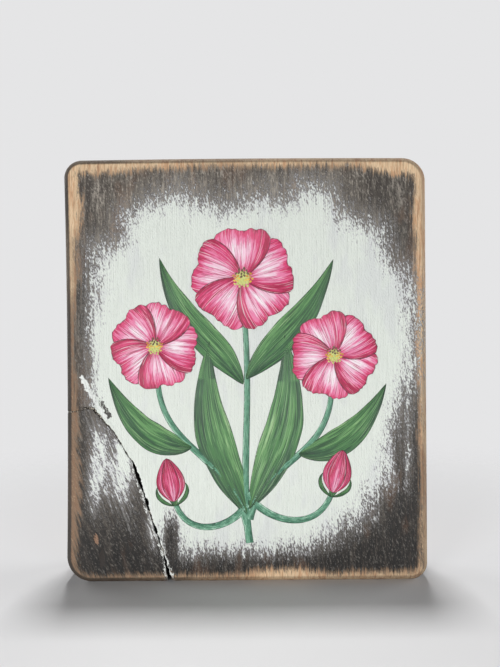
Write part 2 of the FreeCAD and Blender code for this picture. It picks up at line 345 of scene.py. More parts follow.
def scar(x, z):
    """The torn wood above the crack: how much of its raised lip and of its pits is at each place."""
    distance, share = line_distance(SCAR, x, z)
    ragged = distance + 0.9 * rough(x, z, 1.1, 1.1, 14.0)
    low = np.clip(share - 0.9, 0, 1)
    beside = np.clip((3.1 - share) * 3, 0, 1) * (abs(distance) < 4)
    lip = np.exp(-(ragged / (1.15 - 0.45 * low)) ** 2) * beside
    pit = 0.54 * np.exp(-((ragged - 1.3) / 1.5) ** 2) * low * beside
    return lip, pit


def face_relief(x, z, side):
    """How far the painted face stands out from its flat, from its grain, paint and damage."""
    relief = 0.09 * rough(x, z, 38, 60, 1.0) + 0.05 * rough(x, z, 1.6, 26, 2.0)
    relief += 0.03 * rough(x, z, 1.1, 5, 3.0)
    ground = ground_cover(x, z, side) + 5 * rough(x, z, 1.2, 9, 4.0)
    relief += 0.06 * np.clip(ground / 1.5, 0, 1)
    wall, share = wall_depth(x, z, side)
    relief -= 0.30 * np.exp(-np.maximum(wall, 0) / 0.45)
    hairline = np.clip((share - HAIRLINE[0]) * 2, 0, 1) * np.clip((HAIRLINE[1] - share) * 2, 0, 1)
    relief += 0.40 * hairline * np.exp(-((wall - 0.25) / 0.45) ** 2)
    if side > 0:
        lip, pit = scar(x, z)
        relief += 0.22 * lip - 0.8 * pit
    else:
        relief -= 0.35 * spot(x, z, CHIP) + 0.30 * spot(x, z, HOLLOW)
    return np.minimum(relief, 0.3)


def edge_drop(depth, radius):
    """How far a rounded edge has fallen away at this depth inside the outline."""
    short = np.clip(radius - depth, 0, radius)
    return radius - np.sqrt(radius ** 2 - short ** 2)


# ---------------------------------------------------------------- meshes

def places(verts):
    """The x and the z of each point."""
    at = np.array([v.co for v in verts]).reshape(-1, 3)
    return at[:, 0], at[:, 2]


def slide(verts, depth, limit):
    """Moves places along the slope of a depth, to where it is nought, if they are within limit."""
    x, z = places(verts)
    value = depth(x, z)
    step = 0.02
    slope_x, slope_z = (depth(x + step, z) - value) / step, (depth(x, z + step) - value) / step
    steep = np.maximum(slope_x ** 2 + slope_z ** 2, 0.5)
    near = abs(value) < limit
    for v, slides, dx, dz in zip(verts, near, value * slope_x / steep, value * slope_z / steep):
        if slides:
            v.co.x -= dx
            v.co.z -= dz
    return np.where(near, 0, np.sign(value))


def trimmed_grid(spacing, depth):
    """A flat grid in the XZ plane that reaches to where the depth is nought, facing -Y."""
    bm = bmesh.new()
    wide, tall = WIDTH + 2 * spacing, HEIGHT + 2 * spacing
    columns, rows = round(wide / spacing), round(tall / spacing)
    bmesh.ops.create_grid(bm, x_segments=columns, y_segments=rows, size=0.5)
    for v in bm.verts:
        v.co = Vector((v.co.x * wide, 0, v.co.y * tall + HEIGHT / 2))
    sign = dict(zip(bm.verts, slide(bm.verts, depth, limit=0.5 * spacing)))
    bmesh.ops.connect_verts(bm, verts=[v for v in bm.verts if sign[v] == 0])
    gone = [f for f in bm.faces if min(sign[v] for v in f.verts) < 0]
    flat = [f for f in bm.faces if all(sign[v] == 0 for v in f.verts)]
    if flat:
        middles = [f.calc_center_median() for f in flat]
        outside = depth(np.array([m.x for m in middles]), np.array([m.z for m in middles])) < 0
        gone += [f for f, out in zip(flat, outside) if out]
    bmesh.ops.delete(bm, geom=list(set(gone)), context="FACES")
    bmesh.ops.delete(bm, geom=[v for v in bm.verts if not v.link_faces], context="VERTS")
    return bm


def pull_walls(bm, side, rings):
    """Pulls the border out ring by ring and closes the far end. A ring is its depth inside the
    outline, its depth inside the crack's wall, its y, and how deep its dents are."""
    border = [e for e in bm.edges if e.is_boundary]
    for inset, wall_inset, y, dents in rings:
        made = bmesh.ops.extrude_edge_only(bm, edges=border)["geom"]
        verts = [g for g in made if isinstance(g, bmesh.types.BMVert)]
        border = [g for g in made if isinstance(g, bmesh.types.BMEdge) and g.is_boundary]

        def depth(x, z):
            worn = dents * (0.5 + 0.5 * rough(x + z, y + 0 * z, 5, 2.5, 8.0))
            torn = 0.3 * dents * (1 + rough(z, y + 0 * z, 3, 2, 9.0))
            return np.minimum(edge_depth(x, z) - inset - worn, wall_depth(x, z, side)[0] - wall_inset - torn)
        slide(verts, depth, limit=5.0)
        for v in verts:
            v.co.y = y
    bmesh.ops.holes_fill(bm, edges=border, sides=0)


def finish_piece(name, bm, material, replaced):
    """Turns a bmesh in mm into a smooth object in metres that rides on the body and takes the
    place of some of the solids."""
    sharp = math.radians(50)
    bmesh.ops.recalc_face_normals(bm, faces=bm.faces)
    for face in bm.faces:
        face.smooth = True
    for edge in bm.edges:
        edge.smooth = edge.calc_face_angle(0) < sharp
    mesh = bpy.data.meshes.new(name)
    bm.to_mesh(mesh)
    bm.free()
    mesh.transform(Matrix.Scale(MM, 4))
    mesh.materials.append(material)
    piece = bpy.data.objects.new(name, mesh)
    bpy.context.scene.collection.objects.link(piece)
    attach(piece, BODY)
    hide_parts(*replaced)
    return piece


def mesh_places(piece):
    """The x, y and z of each of a finished piece's points, in mm."""
    at = np.zeros(len(piece.data.vertices) * 3)
    piece.data.vertices.foreach_get("co", at)
    return at.reshape(-1, 3).T / MM


def write_attribute(piece, name, values):
    """Stores a number at each of a piece's points, for its material to read."""
    layer = piece.data.attributes.new(name, "FLOAT", "POINT")
    layer.data.foreach_set("value", np.ascontiguousarray(values, np.float32))


# ---------------------------------------------------------------- materials

# A Math node's first input times its second, plus its third
TIMES_PLUS = {"operation": "MULTIPLY_ADD"}
# What a material reads at each point of a painted face, and of a brush stroke
FACE_ATTRIBUTES = (
    "cover", "rubbed", "edge_depth", "bare_width", "dirt", "rim", "crack_shade", "pit", "chip", "lip")
STROKE_ATTRIBUTES = ("across", "along", "stroke", "tone", "rim")


def add(tree, kind, inputs=None, out=None, **settings):
    """Adds a shader node with its settings, sets or links its inputs, and returns an output."""
    node = tree.nodes.new("ShaderNode" + kind)
    for name, value in settings.items():
        setattr(node, name, value)
    for key, value in (inputs or {}).items():
        socket = node.inputs[key] if isinstance(key, int) else next(
            s for s in node.inputs if s.enabled and s.name == key)
        if isinstance(value, bpy.types.NodeSocket):
            tree.links.new(value, socket)
        else:
            socket.default_value = value
    return node.outputs[out] if out else next(s for s in node.outputs if s.enabled)


def new_material(name, **values):
    """A material with a Principled shader, and its piece's coordinates in millimetres."""
    material = bpy.data.materials.new(name)
    material.use_nodes = True
    tree = material.node_tree
    shader = tree.nodes["Principled BSDF"]
    for key, value in values.items():
        shader.inputs[key.replace("_", " ")].default_value = value
    place = add(tree, "TexCoord", out="Object")
    return material, tree, shader, add(tree, "Mapping", {"Vector": place, "Scale": (1 / MM,) * 3})


def connect(tree, shader, surface, bumps, depth, roughness=None):
    """Gives a shader its colour, a bump of a depth in mm and perhaps a roughness."""
    normal = add(tree, "Bump", {"Height": bumps, "Distance": depth * MM})
    for name, value in (("Base Color", surface), ("Normal", normal), ("Roughness", roughness)):
        if value:
            tree.links.new(value, shader.inputs[name])


def marks(tree, place, *sizes, detail=3.0):
    """Bristle marks or wood fibres: noise from 0 to 1 in streaks of across by along millimetres.
    Each size has a weight, and the weights add up to 1."""
    result = 0.0
    for across, along, weight in sizes:
        at = add(tree, "Mapping", {"Vector": place, "Location": (37 * across, 0, 11 * along),
                                   "Scale": (1 / across, 1 / across, 1 / along)})
        value = add(tree, "TexNoise", {"Vector": at, "Scale": 1.0, "Detail": detail, "Roughness": 0.6})
        value = add(tree, "MapRange", {"Value": value, "From Min": 0.3, "From Max": 0.7})
        result = add(tree, "Math", {0: value, 1: weight, 2: result}, **TIMES_PLUS)
    return result


def layered(tree, surface, *layers):
    """Paints colours over one another. Each layer lies where its value goes from low to high, is
    as opaque as its share and has a colour."""
    for value, low, high, share, over in layers:
        where = add(tree, "MapRange", {"Value": value, "From Min": low, "From Max": high, "To Max": share},
                    interpolation_type="SMOOTHSTEP")
        over = linear(over) if isinstance(over, str) else over
        surface = add(tree, "Mix", {"Factor": where, "A": surface, "B": over}, data_type="RGBA")
    return surface


def face_material(name, colours, sizes, slant, streaky):
    """Old pine under dark stain and a matt acrylic ground, both dry-brushed along the grain. It
    shows bristle streaks, grainy broken edges, a thin grey film and wood sanded bare at the edge."""
    material, tree, shader, mm = new_material(name, IOR=1.45)
    cover, rubbed, edge, width, dirt, rim, crack_shade, pit, chip, lip = (
        add(tree, "Attribute", out="Fac", attribute_name=attribute) for attribute in FACE_ATTRIBUTES)
    brushed = add(tree, "Mapping", {"Vector": mm, "Rotation": (0, math.radians(slant), 0)})
    tilted = add(tree, "Mapping", {"Vector": mm, "Rotation": (0, math.radians(slant + 15), 0)})

    bristle = sizes.bristle
    strokes = marks(tree, brushed, (7 * bristle, 56 * bristle, 0.3), (2.4 * bristle, 36 * bristle, 0.35),
                    (1.4 * bristle, 8 * bristle, 0.35))
    grains = marks(tree, tilted, (0.8 * bristle, 2.0 * bristle, 0.6), (1.5 * bristle, 5 * bristle, 0.4))
    hairs = marks(tree, brushed, (0.8 * bristle, 30 * bristle, 1.0), detail=2)
    clouds = marks(tree, brushed, (9, 24, 1.0), detail=2)
    growth = marks(tree, brushed, (sizes.grain, 60, 1.0), detail=4)

    # Stain: near black low down, greyer and rubbed thinner higher up, with brown wood showing through
    middle, light, speck, dark = (
        add(tree, "Mix", {"Factor": rubbed, "A": low, "B": high}, data_type="RGBA") for low, high in (
            (colours.stain_low, colours.stain_high), (linear("#423C36"), linear("#A8A095")),
            (linear("#74706A"), linear("#AFA79D")), (linear("#0D0B0A"), linear("#38312B"))))
    stain = layered(tree, middle, (strokes, 0.50, 0.74, 0.80, light), (strokes, 0.50, 0.30, 0.95, dark),
                    (clouds, 0.55, 0.95, 0.30, "#74553F"), (grains, 0.58, 0.80, 0.65, speck),
                    (grains, 0.46, 0.26, 0.90, dark))

    # Wood sanded bare along the edge, where dark strokes reach out over it
    soiled = add(tree, "Math", {0: strokes, 1: 0.9, 2: dirt}, **TIMES_PLUS)
    bare = layered(tree, colours.bare, (growth, 0.40, 0.90, 0.55, "#CFA67E"),
                   (strokes, 0.48, 0.66, 0.60, "#DEA476"), (soiled, 0.45, 1.15, 0.90, colours.bare_dark),
                   (hairs, 0.50, 0.90, 0.50, "#8A6A50"), (grains, 0.60, 0.90, 0.30, colours.bare))
    reach = add(tree, "MapRange", {"Value": strokes, "To Min": 0.4, "To Max": 1.9})
    reach = add(tree, "Math", {0: reach, 1: width}, operation="MULTIPLY")
    inward = add(tree, "Math", {0: edge, 1: reach}, operation="SUBTRACT")
    inward = add(tree, "Math", {0: grains, 1: 2.0, 2: inward}, **TIMES_PLUS)
    inward = add(tree, "Math", {0: hairs, 1: -1.8, 2: inward}, **TIMES_PLUS)
    splinter = add(tree, "Math", {0: grains, 1: 1.1, 2: chip}, **TIMES_PLUS)
    surface = layered(tree, bare, (inward, -1.4, 0.6, 0.75, "#86705B"), (inward, -0.7, 2.0, 1.0, stain),
                      (splinter, 1.15, 1.50, 0.85, "#9C7A62"))

    # The ground coat, broken up by strokes and grains towards its edge, over a thin grey film
    covered = add(tree, "MapRange", {"Value": cover, "From Min": -14.0, "From Max": 12.5})
    covered = add(tree, "Math", {0: strokes, 1: -streaky, 2: covered}, **TIMES_PLUS)
    covered = add(tree, "Math", {0: grains, 1: streaky - 1.05, 2: covered}, **TIMES_PLUS)
    painted = add(tree, "MapRange", {"Value": covered, "From Min": -0.01, "From Max": 0.05})
    mint = layered(tree, colours.mint_thin, (covered, 0.02, 0.22, 1.0, colours.mint),
                   (clouds, 0.50, 0.95, 0.35, "#CFD0D6"), (hairs, 0.62, 1.00, 0.12, "#AEB3AE"))
    film = add(tree, "Math", {0: hairs, 1: 0.15, 2: covered}, **TIMES_PLUS)
    surface = layered(tree, surface, (film, -0.14, 0.10, 0.50, "#A9A6A3"), (painted, 0.0, 1.0, 1.0, mint))
    crumbs = add(tree, "Math", {0: grains, 1: 0.7, 2: lip}, **TIMES_PLUS)
    surface = layered(tree, surface, (crumbs, 0.78, 0.95, 1.0, "#EDF0EC"))

    # The turn of the edge is darkened by its stain and by painted shade where the rounding turns from the
    # light, and painted shade darkens the pits and the crack's walls
    turn = add(tree, "Math", {0: grains, 1: 0.3, 2: edge}, **TIMES_PLUS)
    pit_shade = add(tree, "Math", {0: grains, 1: 0.5, 2: pit}, **TIMES_PLUS)
    surface = layered(tree, surface, (turn, 2.5, 1.75, rim, colours.rim),
                      (pit_shade, 0.60, 0.72, 0.95, "#2A2420"), (crack_shade, 0.0, 1.0, 1.0, "#17110D"))

    gloss = add(tree, "MapRange", {"Value": painted, "To Min": 0.62, "To Max": 0.50})
    bumps = add(tree, "Math", {0: grains, 1: 0.45, 2: painted}, **TIMES_PLUS)
    bumps = add(tree, "Math", {0: hairs, 1: 0.35, 2: bumps}, **TIMES_PLUS)
    connect(tree, shader, surface, bumps, 0.35, gloss)
    return material


def wood_material(name, sizes, slant, pith):
    """Sawn pine, stained dark on its sides and raw at the back. Its growth rings run up the block
    as lines and come out on the ends as arcs."""
    material, tree, shader, mm = new_material(name, IOR=1.45, Roughness=0.72)
    slow = add(tree, "Mapping", {"Vector": mm, "Rotation": (0, math.radians(slant), 0),
                                 "Location": pith, "Scale": (1, 1, 0.03)})
    drift = add(tree, "TexNoise", {"Vector": slow, "Scale": 0.05, "Detail": 3.0})
    radius = add(tree, "VectorMath", {0: slow}, out="Value", operation="LENGTH")
    ring = add(tree, "Math", {0: radius, 1: 2 * math.pi / sizes.grain}, operation="MULTIPLY")
    ring = add(tree, "Math", {0: drift, 1: 30.0, 2: ring}, **TIMES_PLUS)
    late = add(tree, "Math", {0: ring}, operation="SINE")
    fibre = marks(tree, mm, (0.35, 8, 1.0), detail=4)
    blot = marks(tree, mm, (22, 35, 1.0), detail=4)
    saw = marks(tree, mm, (30, 0.7, 1.0), detail=2)
    raw = layered(tree, linear("#B48F67"), (late, -0.3, 0.95, 0.75, "#80593A"),
                  (fibre, 0.0, 1.0, 0.35, "#6E553F"), (blot, 0.3, 0.9, 0.6, "#57483A"))
    dark = layered(tree, linear("#4B3D34"), (late, -0.3, 0.95, 0.7, "#2B221D"),
                   (fibre, 0.0, 1.0, 0.45, "#65584F"))
    stained = add(tree, "Attribute", out="Fac", attribute_name="stained")
    reach = add(tree, "Math", {0: fibre, 1: 0.25, 2: stained}, **TIMES_PLUS)
    reach = add(tree, "Math", {0: blot, 1: -0.2, 2: reach}, **TIMES_PLUS)
    # A stained value of 2 marks the crack's walls, which are painted near black as shade
    surface = layered(tree, raw, (reach, 0.35, 0.7, 1.0, dark), (stained, 1.2, 1.6, 1.0, "#17110D"))
    bumps = add(tree, "Math", {0: saw, 1: 0.5, 2: fibre}, **TIMES_PLUS)
    bumps = add(tree, "Math", {0: late, 1: 0.3, 2: bumps}, **TIMES_PLUS)
    connect(tree, shader, surface, bumps, 0.08)
    return material


def filler_material():
    """Old wood filler, gone crumbly and dirty: matt, with pale grains among dark pits."""
    material, tree, shader, mm = new_material("old wood filler", IOR=1.5, Roughness=0.9)
    crumbs = marks(tree, mm, (0.6, 0.6, 1.0), detail=5)
    surface = layered(tree, linear("#2A221C"), (crumbs, 0.45, 0.70, 1.0, "#B9B2A4"))
    connect(tree, shader, surface, crumbs, 0.3)
    return material


def stroke_material(name, stops, outline, bristles, outline_width):
    """Acrylic laid with a round brush: colours streak along the stroke, from the first of stops to
    the last as its tone deepens, with fine hairs of both and a broken darker line at its edge."""
    material, tree, shader, mm = new_material(name, IOR=1.47, Roughness=0.40)
    across, along, stroke, tone, rim = (
        add(tree, "Attribute", out="Fac", attribute_name=attribute) for attribute in STROKE_ATTRIBUTES)
    place = add(tree, "CombineXYZ", {"X": across, "Y": along, "Z": stroke})
    brushed = [add(tree, "Mapping", {"Vector": place, "Scale": (thin / bristles[0], 1 / bristles[1], seed)})
               for thin, seed in ((1, 7.3), (3.6, 5.1))]
    streak, hair = (
        add(tree, "TexNoise", {"Vector": at, "Scale": 1.0, "Detail": detail, "Roughness": 0.65})
        for at, detail in zip(brushed, (4.0, 2.0)))
    depth = add(tree, "MapRange", {"Value": streak, "From Min": 0.3, "From Max": 0.7,
                                   "To Min": -0.36, "To Max": 0.36})
    depth = add(tree, "Math", {0: depth, 1: tone})
    surface = linear(stops[0])
    for i, code in enumerate(stops[1:]):
        low = (i + 0.2) / (len(stops) - 1)
        surface = layered(tree, surface, (depth, low, low + 0.6 / (len(stops) - 1), 1.0, code))
    surface = layered(tree, surface, (hair, 0.56, 0.61, 0.75, stops[-1]), (hair, 0.42, 0.35, 0.55, stops[0]))
    wobble = marks(tree, mm, (1.2, 1.2, 0.5), (3.5, 3.5, 0.5), detail=2)
    inward = add(tree, "Math", {0: wobble, 1: 1.3 * outline_width, 2: rim}, **TIMES_PLUS)
    surface = layered(tree, surface, (inward, 1.5 * outline_width, 0.75 * outline_width, 0.9, outline))
    connect(tree, shader, surface, add(tree, "Math", {0: hair, 1: streak}), 0.25)
    return material


def dab_material():
    """Thick dabs of yellow, ochre and dark brown acrylic, each dab its own shade, glossier than
    the thin paint round them."""
    material, tree, shader, mm = new_material("thick yellow acrylic", IOR=1.47, Roughness=0.35)
    tone = add(tree, "Attribute", out="Fac", attribute_name="tone")
    grain = marks(tree, mm, (0.4, 0.4, 1.0))
    surface = layered(tree, linear("#C8D07A"), (tone, 0.15, 0.3, 1.0, "#EBC043"),
                      (tone, 0.45, 0.55, 1.0, "#C98A2B"), (tone, 0.72, 0.8, 1.0, "#4A2A20"),
                      (grain, 0.0, 1.0, 0.2, "#F6E3A0"))
    connect(tree, shader, surface, grain, 0.08)
    return material


def steel_material(name, code, roughness):
    """Zinc-plated pressed steel: dull metal with faint rolling marks and dark handling spots."""
    material, tree, shader, mm = new_material(name, Metallic=1.0)
    rolled = marks(tree, mm, (0.3, 4, 1.0), detail=4)
    spots = marks(tree, mm, (1.5, 1.5, 1.0))
    surface = layered(tree, linear(code), (spots, 0.4, 1.0, 0.6, "#6E6A62"))
    gloss = add(tree, "MapRange", {"Value": rolled, "To Min": roughness - 0.10, "To Max": roughness + 0.18})
    connect(tree, shader, surface, rolled, 0.03, gloss)
    return material


# ---------------------------------------------------------------- brush strokes

def brushed_shape(bm, cells, place, height, tone, stroke, rim):
    """Adds one brushed shape, a thin closed slab on the face. place turns (across, along) into x
    and z, height gives its paint's thickness, tone its depth of colour and rim the distance to
    its edge."""
    floats = bm.verts.layers.float
    layers = [floats.get(name) or floats.new(name) for name in STROKE_ATTRIBUTES]
    verts = bmesh.ops.create_grid(bm, x_segments=cells[0], y_segments=cells[1], size=1.0)["verts"]
    spread = [(v.co.x, (v.co.y + 1) / 2) for v in verts]
    where = [place(u, t) for u, t in spread]
    relief = face_relief(np.array([x for x, _ in where]), np.array([z for _, z in where]), 1)
    for v, (u, t), (x, z), under in zip(verts, spread, where, relief):
        v.co = Vector((x, FRONT - under - height(u, t), z))
        for layer, value in zip(layers, (u, t, stroke, tone(u, t), rim(u, t))):
            v[layer] = value
    faces = list({f for v in verts for f in v.link_faces})
    made = bmesh.ops.extrude_face_region(bm, geom=faces, use_keep_orig=True)["geom"]
    under_side = [g for g in made if isinstance(g, bmesh.types.BMVert)]
    for v in under_side:
        v.co.y = FRONT + PAINT_ROOT
    bmesh.ops.remove_doubles(bm, verts=list(verts) + under_side, dist=0.004)


def curve_at(poles, t):
    """The point and the unit side vector of a cubic curve at t."""
    a, b, c, d = (Vector(p) for p in poles)
    s = 1 - t
    point = a * s ** 3 + b * 3 * s * s * t + c * 3 * s * t * t + d * t ** 3
    along = ((b - a) * s * s + (c - b) * 2 * s * t + (d - c) * t * t).normalized()
    return point, Vector((-along.y, along.x))


def ripple(u, t, seed, across=5.0, along=2.0):
    """Soft noise from -1 to 1 over a brushed shape."""
    return noise.noise(Vector((u * across, t * along, seed * 3.7 + 0.5)))


def turned(centre, turn, x, z):
    """A place in a flower's own frame, turned clockwise and moved to its centre."""
    angle = math.radians(turn)
    return (centre[0] + x * math.cos(angle) + z * math.sin(angle),
            centre[1] - x * math.sin(angle) + z * math.cos(angle))


def petal(bm, centre, radius, turn, stroke):
    """One rounded petal with a notched tip. Its left side lies over the next petal."""
    def outline(u, t):
        along = PETAL_ROOT + (1 - PETAL_ROOT) * t
        shoulder = 1 - PETAL_SHOULDER + PETAL_SHOULDER * math.sqrt(max(0.0, 1 - u * u))
        tip = shoulder - PETAL_NOTCH * math.exp(-(u / PETAL_NOTCH_WIDTH) ** 2)
        spread = PETAL_HALF_WIDTH * math.sin(math.pi / 2 * along ** 0.8)
        frill = 1 + 0.05 * t * ripple(u, 1, stroke, 6)
        return u * spread * radius, along * tip * radius * frill

    def place(u, t):
        return turned(centre, turn, *outline(u, t))

    def height(u, t):
        ridge = 0.015 * math.cos(u * 14) * math.sin(math.pi * t)
        return 0.09 + 0.06 * (1 + u) / 2 + 0.03 * t ** 3 + ridge + 0.012 * ripple(u, t, stroke)

    def tone(u, t):
        deep_edge = 0.45 * max(abs(u) ** 3, t ** 4)
        pale_middle = 0.34 * math.exp(-((u + 0.15) / 0.5) ** 2 - ((t - 0.5) / 0.3) ** 2)
        return 0.46 + 0.14 * u + deep_edge - pale_middle + 0.2 * math.exp(-((t - 0.08) / 0.12) ** 2)

    def rim(u, t):
        return min((1 - abs(u)) * outline(1, t)[0], (1 - t) * radius * 0.85)
    brushed_shape(bm, (24, 30), place, height, tone, stroke, rim)


def leaf(bm, poles, width, stroke):
    """A lance leaf with a creased midrib, lighter on the side that faces up."""
    def half_width(t):
        return width / 2 * max(0.0, math.sin(math.pi * t ** 0.85)) ** 0.85

    def place(u, t):
        point, side = curve_at(poles, t)
        return tuple(point + side * u * half_width(t) * (1 + 0.09 * ripple(u, t, stroke, 1, 6)))

    def height(u, t):
        crease = 0.02 * math.exp(-(u / 0.12) ** 2)
        return 0.03 + 0.025 * (1 - u * u) - crease + 0.01 * ripple(u, t, stroke, 6, 3) + 0.002 * stroke

    def tone(u, t):
        lit = 1 if curve_at(poles, t)[1].y > 0 else -1
        midrib = 0.35 * math.exp(-((u - 0.04) / 0.05) ** 2) - 0.3 * math.exp(-((u + 0.06) / 0.05) ** 2)
        return 0.46 - 0.26 * u * lit + 0.25 * (abs(t - 0.5) * 2) ** 2 + midrib

    def rim(u, t):
        return (1 - abs(u)) * half_width(t)
    brushed_shape(bm, (16, 72), place, height, tone, stroke, rim)


def stem(bm, poles, stroke):
    """A stem with one lit and one shaded side."""
    def half_width(t):
        return (STEM_WIDTH - STEM_TAPER * t) / 2

    def place(u, t):
        point, side = curve_at(poles, t)
        return tuple(point + side * u * half_width(t))
    brushed_shape(
        bm, (8, 80), place, lambda u, t: 0.015 + 0.03 * (1 - u * u) + 0.002 * stroke,
        lambda u, t: 0.5 - 0.4 * u, stroke, lambda u, t: (1 - abs(u)) * half_width(t))


def bud(bm, root, turn, length, half_width, stroke):
    """A closed bud of three petals wrapped round each other."""
    def outline(share):
        swell = 0.55 + 0.45 * math.sin(math.pi * share ** 0.7)
        return half_width * math.sin(math.acos(1 - 2 * share)) * swell

    petals = ((-0.42, 0.58, 0.05), (0.42, 0.58, 0.08), (0.0, 0.62, 0.12))
    for i, (lean, narrow, lift) in enumerate(petals):
        def place(u, t, lean=lean, narrow=narrow):
            return turned(root, turn, (lean + u * narrow) * outline(t), t * length)

        def tone(u, t, i=i):
            return 0.55 + 0.35 * abs(u) ** 3 - 0.35 * math.exp(-(u / 0.5) ** 2) * (1 - t) + 0.1 * i * t

        def rim(u, t, narrow=narrow):
            return (1 - abs(u)) * outline(t) * narrow
        brushed_shape(
            bm, (12, 30), place, lambda u, t, lift=lift: lift + 0.04 * (1 - u * u), tone, stroke + i, rim)


def sepals(bm, root, turn, length, half_width, stroke):
    """Three narrow sepals that hold a bud at its root."""
    for i, lean in enumerate((-1, 1, 0)):
        points = ((0, -0.10), (0.9 * lean, 0.02), (1.25 * lean, 0.22), (0.95 * lean, 0.50 - 0.1 * abs(lean)))
        poles = [turned(root, turn, half_width * x, length * z) for x, z in points]
        leaf(bm, poles, 0.30 * half_width * (2 - abs(lean)), stroke + i)


def rose_centre(bm, centre, radius, seed):
    """A low cushion of paint with a ring of thick dabs round it."""
    tone = bm.verts.layers.float.get("tone") or bm.verts.layers.float.new("tone")
    size = CENTRE_RADIUS * radius
    x, z = map(float, centre)
    under = face_relief(np.array([x]), np.array([z]), 1)[0]
    golden = math.pi * (3 - math.sqrt(5))
    for i in range(DABS + 1):
        reach = size * (0.98 * math.sqrt(i / DABS) if i else 0)
        dab = size * (0.15 + 0.05 * ripple(i, seed, 1)) if i else size * 0.72
        lift = 0.20 + 0.10 * (1 - i / DABS) if i else 0.14
        made = bmesh.ops.create_icosphere(bm, subdivisions=2, radius=1.0)["verts"]
        angle = i * golden + seed
        at = Vector((x + reach * math.cos(angle), FRONT - under - lift, z + reach * math.sin(angle)))
        turn = Matrix.Rotation(angle, 4, "Y")
        squeeze = Matrix.Diagonal((dab, DAB_HALF_THICKNESS, dab * (0.7 if i else 1), 1))
        bmesh.ops.transform(bm, matrix=Matrix.Translation(at) @ turn @ squeeze, verts=made)
        for v in made:
            v[tone] = (0.5 + 0.5 * math.sin(i * 2.4 + seed)) * (1 if i else 0)


# ---------------------------------------------------------------- operators

def block_face(name, side, sizes, material, replaced):
    """The worn, painted front of the board or the corner, down round its rounded edge."""
    bm = trimmed_grid(sizes.face_spacing, lambda x, z: grid_depth(x, z, side))
    x, z = places(bm.verts)
    depth = edge_depth(x, z)
    worn = sizes.rounding * (1 + 0.18 * rough(x, z, 9, 9, 5.0))
    front = FRONT - face_relief(x, z, side) * np.clip(depth - GRID_INSET, 0, 1) + edge_drop(depth, worn)
    for v, y in zip(bm.verts, front):
        v.co.y = y
    drops = [edge_drop(inset, sizes.rounding) for inset in EDGE_RINGS[:-1]]
    drops += [FACE_DEPTH - FACE_STRAIGHT, FACE_DEPTH]
    pull_walls(bm, side, [(inset, 0, FRONT + drop, 0) for inset, drop in zip((*EDGE_RINGS, 0), drops)])
    piece = finish_piece(name, bm, material, replaced)
    x, y, z = mesh_places(piece)
    wall, share = wall_depth(x, z, side)
    # rim is how dark the turn of the edge is painted, as stain and as painted shade
    width, dirt, rim = edge_wear(x, z)
    fringe = 0.55 * np.exp(-(wall / 1.6) ** 2) * np.clip(share - 6, 0, 1)
    # Painted shade: the crack's walls, set back behind the face, are painted near black
    crack_shade = np.clip((y - FRONT - 0.4) / 0.8, 0, 1) * (wall < 0.25)
    # The pits beside the scar, and the hollow on the corner, are painted dark as shade
    lip, pit = scar(x, z) if side > 0 else (0 * x, 0.9 * spot(x, z, HOLLOW))
    chip = spot(x, z, CHIP) if side < 0 else 0 * x
    values = (ground_cover(x, z, side), stain_rubbed(x, z), edge_depth(x, z), width, dirt, rim,
              crack_shade, pit, chip, np.maximum(lip, fringe))
    for attribute, value in zip(FACE_ATTRIBUTES, values):
        write_attribute(piece, attribute, value)


def block_wood(name, side, sizes, material, replaced):
    """The wood behind the painted face: its back, its sides and the crack's walls."""
    bm = trimmed_grid(sizes.body_spacing, lambda x, z: grid_depth(x, z, side))
    x, z = places(bm.verts)
    depth = edge_depth(x, z)
    relief = 0.12 * rough(x, z, 30, 45, 11.0) + 0.05 * rough(x, z, 1.8, 30, 12.0) - 0.08
    hollow = np.minimum(relief, 0) * np.clip(depth - GRID_INSET, 0, 1)
    back = BACK + hollow - edge_drop(depth, BACK_ROUNDING)
    for v, y in zip(bm.verts, back):
        v.co.y = y
    rings = [(inset, 0, BACK - edge_drop(inset, BACK_ROUNDING), 0) for inset in EDGE_RINGS]
    reach = BACK - BACK_ROUNDING - FRONT - FACE_DEPTH
    for i in range(1, SIDE_RINGS + 1):
        share = i / SIDE_RINGS
        dents = SIDE_DENTS * math.sin(math.pi * share) ** 0.5
        rings.append((0, 0, BACK - BACK_ROUNDING - reach * share, dents))
    rings += [(inset, wall_inset, FRONT + behind, 0) for inset, wall_inset, behind in WOOD_TUCK]
    pull_walls(bm, side, rings)
    piece = finish_piece(name, bm, material, replaced)
    x, y, z = mesh_places(piece)
    on_side = np.clip(1 - (edge_depth(x, z) - 0.5) / 3.0, 0, 1)
    stained = on_side * np.clip((BACK - 0.6 - y) / 3 + 0.45, 0, 1)
    # The crack's walls get the value 2, which their material paints near black as shade
    cracked = (wall_depth(x, z, side)[0] < 0.4) & (y < BACK - 0.3)
    write_attribute(piece, "stained", np.where(cracked, 2, stained))


class BlockOperator:
    """What the operators share"""
    bl_options = {"REGISTER", "UNDO"}

    @property
    def settings(self):
        return bpy.context.scene.block_sizes, bpy.context.scene.paint_colours


class OBJECT_OT_block_wood(BlockOperator, bpy.types.Operator):
    """Adds the wood of the board and of the corner that has split off it"""
    bl_idname = "object.block_wood"
    bl_label = "Wood"

    def execute(self, context):
        sizes, _ = self.settings
        board = wood_material("sawn pine, stained", sizes, slant=2.0, pith=(22, -60, 0))
        corner = wood_material("sawn knotty pine, stained", sizes, slant=24.0, pith=(50, -9, 0))
        block_wood("board_wood", 1, sizes, board, ("wood_board",))
        block_wood("corner_wood", -1, sizes, corner, ("split_corner",))
        return {"FINISHED"}


